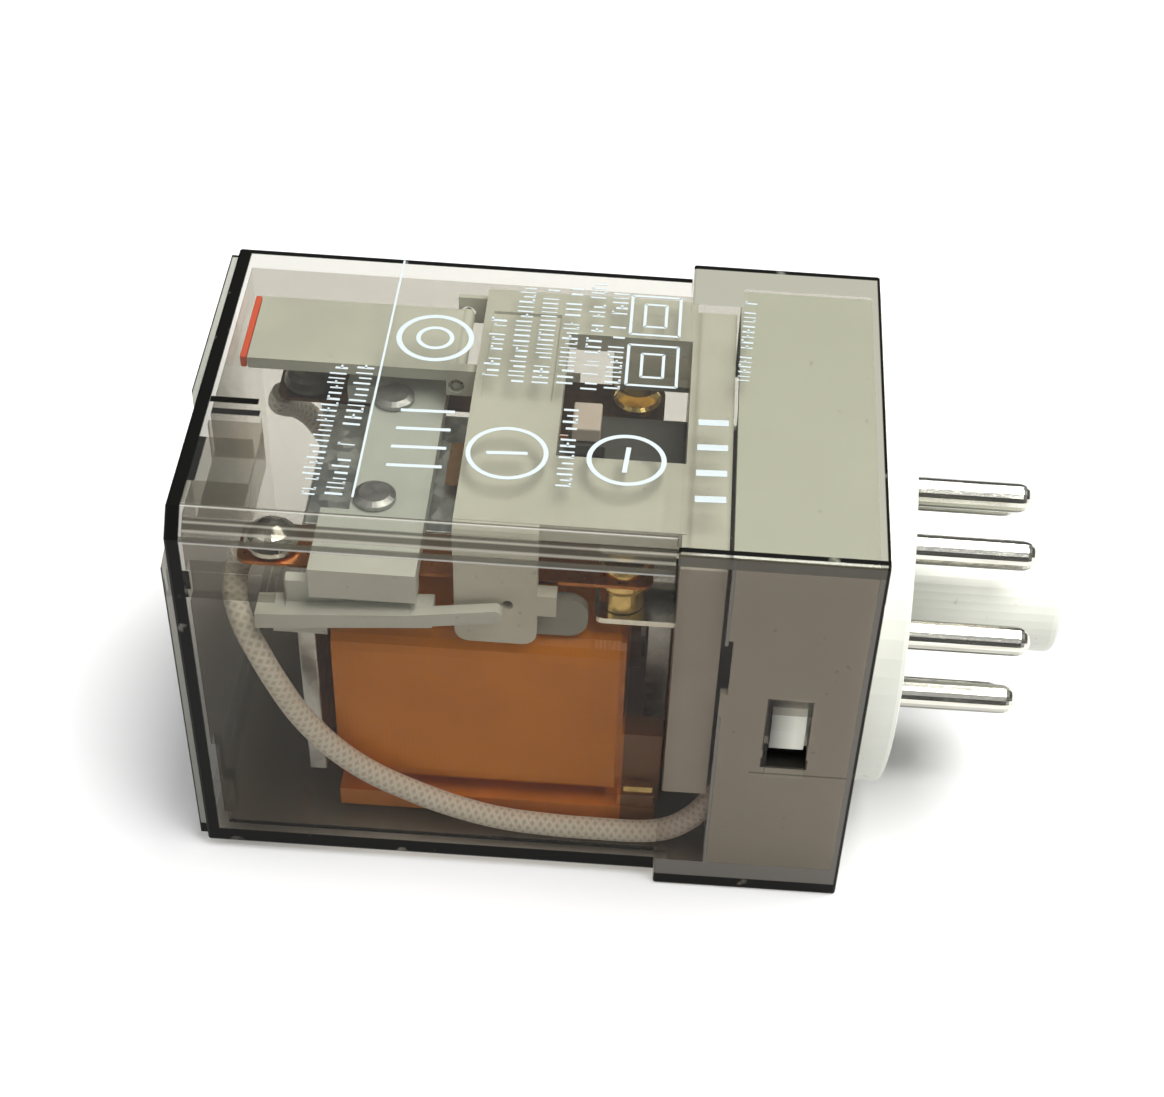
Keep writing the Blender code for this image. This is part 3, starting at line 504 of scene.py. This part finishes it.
def own_finishes():
    """The materials of single pieces, by name."""
    light = (0.67, 0.68, 0.61)
    return {
        "cover": smoke(),
        "plug_base": moulded("visual_light", light, 0.4, 0.1, 0.02, marks=gate_line_and_shade, depth=0.02),
        "contact_frame": moulded("visual_grey", (0.70, 0.695, 0.63), marks=shaded_wall),
        "contact_carrier": moulded("visual_carrier", (0.66, 0.69, 0.66)),
        "indicator_flag": moulded("visual_flag", (0.71, 0.71, 0.645)),
        "pole_barrier": moulded("visual_dark", (0.085, 0.085, 0.082), 0.45, 0.2, 0.15),
        "barrier_pad": moulded("visual_cream", (0.88, 0.76, 0.70), 0.4),
        "coil_tape": amber_tape(),
        "bobbin": bobbin_plastic((0.66, 0.22, 0.02)),
        "winding": wound_copper(),
        "core": metal("visual_steel", (0.45, 0.45, 0.44), 0.4),
        "shading_ring": metal("visual_ring", (0.80, 0.42, 0.24), 0.3),
        "return_spring": metal("visual_bronze", (0.72, 0.42, 0.22), 0.32, LENGTHWISE),
        # The rear dome and blade are darker copies of their metals: painted shade from the flag above
        # them.
        "solder_dome_rear": metal("visual_shaded_solder", (0.20, 0.20, 0.18), 0.35, None, 0.3, 0.3, 0.8),
        "moving_blade_rear": metal("visual_shaded_blade", (0.16, 0.09, 0.05), 0.4, LENGTHWISE, 0.4),
    }


def shared_finishes():
    """The materials of like pieces, by the start of their names."""
    plated, pins = zinc("visual_zinc"), pin_nickel()
    gold = metal("visual_gold", (0.95, 0.70, 0.27), 0.2, None, 0.35, 0.12)
    nickel = metal("visual_nickel", (0.88, 0.87, 0.80), 0.2, (0.08, 1, 1), 0.15, 0.12, 4.0)
    rivet = metal("visual_rivet", (0.50, 0.50, 0.51), 0.42, None, 0.2, 0.15, 3.0)
    solder = metal("visual_solder", (0.95, 0.93, 0.86), 0.16, None, 0.15, 0.3, 0.8)
    blade = metal("visual_blade", (0.50, 0.19, 0.06), 0.32, LENGTHWISE, 0.4, 0.1)
    return {"yoke": plated, "armature": plated, "pin_": pins, "flag_pivot": nickel,
            "solder_dome": solder, "carrier_rivet": rivet, "fixed_strip": nickel, "fixed_contact": gold,
            "moving_contact": gold, "coil_terminal": gold, "moving_blade": blade}


def assign_materials():
    """Give each piece its own finish, or the one that its kind shares."""
    own, shared = own_finishes(), shared_finishes()
    for name, obj in NODES.items():
        found = own.get(name) or next((m for start, m in shared.items() if name.startswith(start)), None)
        if found is not None:
            for slot in obj.material_slots:
                slot.material = found


def round_edges(names, width):
    """A small radius on the pieces' sharp edges."""
    for name in names:
        obj = NODES[name]
        weld = obj.modifiers.new("weld", "WELD")
        weld.merge_threshold = 0.000002
        bevel = obj.modifiers.new("edges", "BEVEL")
        bevel.width = width * MM
        bevel.segments = 2
        bevel.limit_method = "ANGLE"
        bevel.angle_limit = math.radians(40)
        bevel.use_clamp_overlap = True


# ---------------------------------------------------------------- added pieces

def piece(name, mesh, material, body):
    obj = bpy.data.objects.new(name, mesh)
    bpy.context.scene.collection.objects.link(obj)
    mesh.materials.append(material)
    if body:
        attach(obj, body)
    return obj


LEAD_RADIUS = 0.95
LEAD_ROUTE = (
    (4.6, -10.1, 26.3), (4.1, -10.6, 25.0), (4.1, -12.0, 23.6), (4.9, -13.6, 22.2), (6.0, -14.6, 20.4),
    (7.2, -15.0, 17.8), (8.9, -15.0, 14.1), (11.3, -15.0, 10.7), (14.0, -15.0, 8.2), (17.0, -15.0, 6.4),
    (20.7, -15.0, 4.7), (24.8, -15.0, 3.5), (29.0, -15.0, 3.05), (33.0, -15.0, 2.95),
    (36.6, -14.95, 2.95), (38.9, -14.85, 3.5), (40.7, -14.7, 4.9), (42.0, -14.5, 6.7),
    (43.3, -14.2, 8.9), (44.1, -13.9, 11.0),
)


def smooth_route(points, per_span):
    """A Catmull-Rom curve through the points."""
    points = [Vector(p) for p in points]
    padded = [points[0] * 2 - points[1]] + points + [points[-1] * 2 - points[-2]]
    made = []
    for a, b, c, d in zip(padded, padded[1:], padded[2:], padded[3:]):
        for i in range(per_span):
            t = i / per_span
            made.append(0.5 * (2 * b + (c - a) * t + (2 * a - 5 * b + 4 * c - d) * t ** 2
                               + (3 * b - a - 3 * c + d) * t ** 3))
    return made + [points[-1]]


def tube_mesh(name, points, radius, sides=20):
    """A closed tube along points, with its length in millimetres and its turn as its UV map."""
    mesh = bpy.data.meshes.new(name)
    bm = bmesh.new()
    uv = bm.loops.layers.uv.new("UVMap")
    tangents = [(b - a).normalized() for a, b in zip(points, points[1:])]
    tangents.append(tangents[-1])
    side = tangents[0].orthogonal().normalized()
    rings, lengths, run = [], [], 0.0
    for i, (point, tangent) in enumerate(zip(points, tangents)):
        side = (side - tangent * side.dot(tangent)).normalized()
        across = tangent.cross(side)
        ring = []
        for k in range(sides):
            a = math.tau * k / sides
            place = point + (side * math.cos(a) + across * math.sin(a)) * radius
            ring.append(bm.verts.new(at(*place)))
        rings.append(ring)
        if i:
            run += (point - points[i - 1]).length
        lengths.append(run)
    for i in range(len(rings) - 1):
        for k in range(sides):
            m = (k + 1) % sides
            face = bm.faces.new((rings[i][k], rings[i][m], rings[i + 1][m], rings[i + 1][k]))
            face.smooth = True
            corners = ((lengths[i], k), (lengths[i], k + 1), (lengths[i + 1], k + 1), (lengths[i + 1], k))
            for loop, (u, v) in zip(face.loops, corners):
                loop[uv].uv = (u, v / sides)
    bm.faces.new(list(reversed(rings[0])))
    bm.faces.new(rings[-1])
    bmesh.ops.recalc_face_normals(bm, faces=bm.faces)
    bm.to_mesh(mesh)
    bm.free()
    return mesh


def make_tip():
    """The flag's red tip, a clean block as thick as the flag, a little shorter than its solid."""
    low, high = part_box("indicator_tip")
    low = low + Vector((0.05, 0.05, 0.8)) * MM
    mesh = bpy.data.meshes.new("flag_tip")
    bm = bmesh.new()
    bmesh.ops.create_cube(bm, size=1.0)
    for vert in bm.verts:
        vert.co = Vector([(a + b) / 2 + c * (b - a) for a, b, c in zip(low, high, vert.co)])
    bmesh.ops.bevel(bm, geom=bm.edges[:], offset=0.08 * MM, segments=2, affect="EDGES", profile=0.5)
    bm.to_mesh(mesh)
    bm.free()
    tip = piece("flag_tip", mesh, moulded("visual_red", (0.95, 0.13, 0.05), 0.35, 0.08, 0.05), "indicator")
    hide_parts("indicator_tip")


def make_leads():
    sleeve = woven_sleeve()
    for side, sign in (("front", 1), ("rear", -1)):
        route = smooth_route([(x, y * sign, z) for x, y, z in LEAD_ROUTE], 10)
        lead = piece("sleeved_lead_" + side, tube_mesh("sleeved_lead_" + side, route, LEAD_RADIUS),
                     sleeve, None)
        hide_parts("lead_" + side)
        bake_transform(lead)


class Print:
    """Flat white marks on a horizontal face, drawn as thin solids."""

    def __init__(self, height):
        self.bm = bmesh.new()
        self.low, self.high = height + 0.004, height + 0.03

    def outline(self, points):
        """A filled closed outline of (x, y) points."""
        low = [self.bm.verts.new(at(x, y, self.low)) for x, y in points]
        high = [self.bm.verts.new(at(x, y, self.high)) for x, y in points]
        self.bm.faces.new(high)
        self.bm.faces.new(list(reversed(low)))
        count = len(points)
        for i in range(count):
            j = (i + 1) % count
            self.bm.faces.new((low[i], low[j], high[j], high[i]))

    def bar(self, a, b, width):
        """A straight stroke from a to b."""
        a, b = Vector(a), Vector(b)
        along = (b - a).normalized()
        across = Vector((-along.y, along.x)) * width / 2
        self.outline([a - across, b - across, b + across, a + across])

    def ring(self, centre, radius, width, steps=48):
        angles = [math.radians(360 * i / steps) for i in range(steps + 1)]
        for first, second in zip(angles, angles[1:]):
            quad = [(centre[0] + r * math.cos(a), centre[1] + r * math.sin(a))
                    for r, a in ((radius - width, first), (radius, first),
                                 (radius, second), (radius - width, second))]
            self.outline(quad)

    def ticks(self, start, end, height, rng):
        """A row of short upright strokes of random width, as a stand-in for small print."""
        start, end = Vector(start), Vector(end)
        along = (end - start).normalized()
        across = Vector((-along.y, along.x))
        place, length = 0.0, (end - start).length
        while place < length:
            wide = rng.uniform(0.3, 0.62)
            if rng.random() < 0.14:
                place += 0.6
                continue
            tall = height * rng.choice((1.0, 1.0, 0.75))
            base = start + along * (place + wide / 2) - across * (height - tall) / 2
            self.bar(base - across * tall / 2, base + across * tall / 2, wide * 0.42)
            if rng.random() < 0.35:
                foot = base + across * tall * rng.choice((-0.42, 0.0, 0.42))
                self.bar(foot, foot + along * wide * 0.7, 0.17)
            place += wide + 0.2

    def finish(self, name, material):
        mesh = bpy.data.meshes.new(name)
        bmesh.ops.remove_doubles(self.bm, verts=self.bm.verts, dist=1e-7)
        bmesh.ops.recalc_face_normals(self.bm, faces=self.bm.faces)
        self.bm.to_mesh(mesh)
        self.bm.free()
        return piece(name, mesh, material, "case")


def make_print():
    """Plain marks on the cover's upper face: a line, rings, bars and rows of ticks."""
    rng = random.Random(7)
    ink = printing()
    body = Print(BODY_TOP)
    body.bar((13.92, -13.25), (14.18, 16.9), 0.17)
    body.ticks((10.5, -13.4), (10.9, 2.2), 1.3, rng)
    body.ticks((12.5, -13.3), (12.9, 2.3), 1.3, rng)
    body.ring((17.8, 6.66), 3.05, 0.42)
    body.ring((17.8, 6.66), 1.5, 0.35)
    for step in range(4):
        body.bar((16.2 - 0.1 * step, -2.7 - 2.2 * step), (20.3 - 0.1 * step, -2.55 - 2.2 * step), 0.34)
    for x, low, high in ((22.5, 1.6, 10.0), (24.5, 0.9, 14.2), (26.4, 1.0, 14.5), (28.3, 1.1, 14.9),
                         (30.2, 1.2, 15.1), (32.0, 1.5, 14.6)):
        body.ticks((x, low), (x + 0.1, high), 1.25, rng)
    body.ring((24.66, -7.0), 3.1, 0.36)
    body.bar((23.1, -7.1), (26.2, -6.9), 0.36)
    body.ring((33.6, -6.9), 3.0, 0.38)
    body.bar((33.5, -8.4), (33.7, -5.4), 0.36)
    body.ticks((29.1, -10.6), (29.1, -1.0), 1.15, rng)
    for centre in ((35.0, 4.9), (35.0, 11.5)):
        for inset in (0.0, 1.1):
            half_x, half_y = 1.95 - inset, 2.6 - inset
            corners = [(centre[0] + sx * half_x, centre[1] + sy * half_y)
                       for sx, sy in ((-1, -1), (1, -1), (1, 1), (-1, 1))]
            for a, b in zip(corners, corners[1:] + corners[:1]):
                body.bar(a, b, 0.24)
    body.finish("print_body", ink)
    skirt = Print(SIDE - 0.03)
    for y in (-11.8, -8.8, -5.8, -2.8):
        skirt.bar((38.8, y), (41.1, y + 0.1), 0.7)
    skirt.ticks((42.1, 2.6), (42.6, 13.8), 0.95, rng)
    skirt.finish("print_skirt", ink)


# ---------------------------------------------------------------- stage

def area_light(name, place, target, size, power, colour=(1, 1, 1), size_y=None):
    data = bpy.data.lights.new(name, "AREA")
    data.energy, data.color, data.size = power, colour, size
    if size_y:
        data.shape, data.size_y = "RECTANGLE", size_y
    obj = bpy.data.objects.new(name, data)
    bpy.context.scene.collection.objects.link(obj)
    obj.location = place
    obj.rotation_euler = (Vector(target) - Vector(place)).to_track_quat("-Z", "Y").to_euler()


def make_sky(tree):
    """A dim room with a pale ceiling, brightest straight above."""
    coords = tree.nodes.new("ShaderNodeTexCoord")
    split = tree.nodes.new("ShaderNodeSeparateXYZ")
    power = tree.nodes.new("ShaderNodeMapRange")
    power.inputs["From Min"].default_value, power.inputs["From Max"].default_value = 0.35, 1.0
    power.inputs["To Min"].default_value, power.inputs["To Max"].default_value = 0.07, 0.75
    background = tree.nodes["Background"]
    background.inputs["Color"].default_value = (0.95, 0.97, 1.0, 1.0)
    tree.links.new(coords.outputs["Generated"], split.inputs[0])
    tree.links.new(split.outputs[2], power.inputs["Value"])
    tree.links.new(power.outputs[0], background.inputs["Strength"])


def make_stage():
    mesh = bpy.data.meshes.new("floor")
    bm = bmesh.new()
    bmesh.ops.create_circle(bm, cap_ends=True, segments=96, radius=1.6)
    bm.to_mesh(mesh)
    bm.free()
    floor = bpy.data.objects.new("floor", mesh)
    mesh.materials.append(paper_floor())
    bpy.context.scene.collection.objects.link(floor)
    floor.location.z = -0.00002

    world = bpy.data.worlds.new("studio")
    bpy.context.scene.world = world
    world.use_nodes = True
    make_sky(world.node_tree)
    area_light("overhead", (0.16, 0.0, 0.5), (0.02, 0.0, 0.0), 0.55, 5.3, (1.0, 0.995, 0.98), 0.3)
    area_light("fill", (-0.35, -0.1, 0.3), (-0.03, 0.0, 0.0), 0.4, 0.55, (0.97, 0.99, 1.0))


CAMERA_PLACE = (35.95, -137.15, 139.03)
CAMERA_ANGLES = (-0.19, -48.99, 3.71)  # azimuth, elevation and roll
CAMERA_LENS, CAMERA_SHIFT = 67.87, (-0.0379, 0.272)


def make_camera():
    """From the coil side, 49 degrees down, with its axis off the picture's centre."""
    data = bpy.data.cameras.new("camera")
    data.sensor_fit, data.sensor_width = "HORIZONTAL", 36.0
    data.lens = CAMERA_LENS
    data.shift_x, data.shift_y = CAMERA_SHIFT
    data.clip_start, data.clip_end = 0.01, 10.0
    camera = bpy.data.objects.new("camera", data)
    bpy.context.scene.collection.objects.link(camera)
    azimuth, elevation, roll = (math.radians(a) for a in CAMERA_ANGLES)
    forward = Vector((math.sin(azimuth) * math.cos(elevation),
                      math.cos(azimuth) * math.cos(elevation), math.sin(elevation)))
    right = forward.cross(Vector((0, 0, 1))).normalized()
    up = right.cross(forward)
    rolled_right = right * math.cos(roll) + up * math.sin(roll)
    rolled_up = up * math.cos(roll) - right * math.sin(roll)
    matrix = Matrix((rolled_right, rolled_up, -forward)).transposed().to_4x4()
    matrix.translation = at(*CAMERA_PLACE)
    camera.matrix_world = matrix
    bpy.context.scene.camera = camera


def main():
    bpy.context.scene.view_settings.view_transform = "Standard"
    make_camera()
    make_stage()
    assign_materials()
    make_tip()
    make_leads()
    make_print()
    round_edges(("contact_carrier", "indicator_flag", "pole_barrier", "yoke", "armature"), 0.12)
    round_edges(("contact_frame",), 0.05)


main()
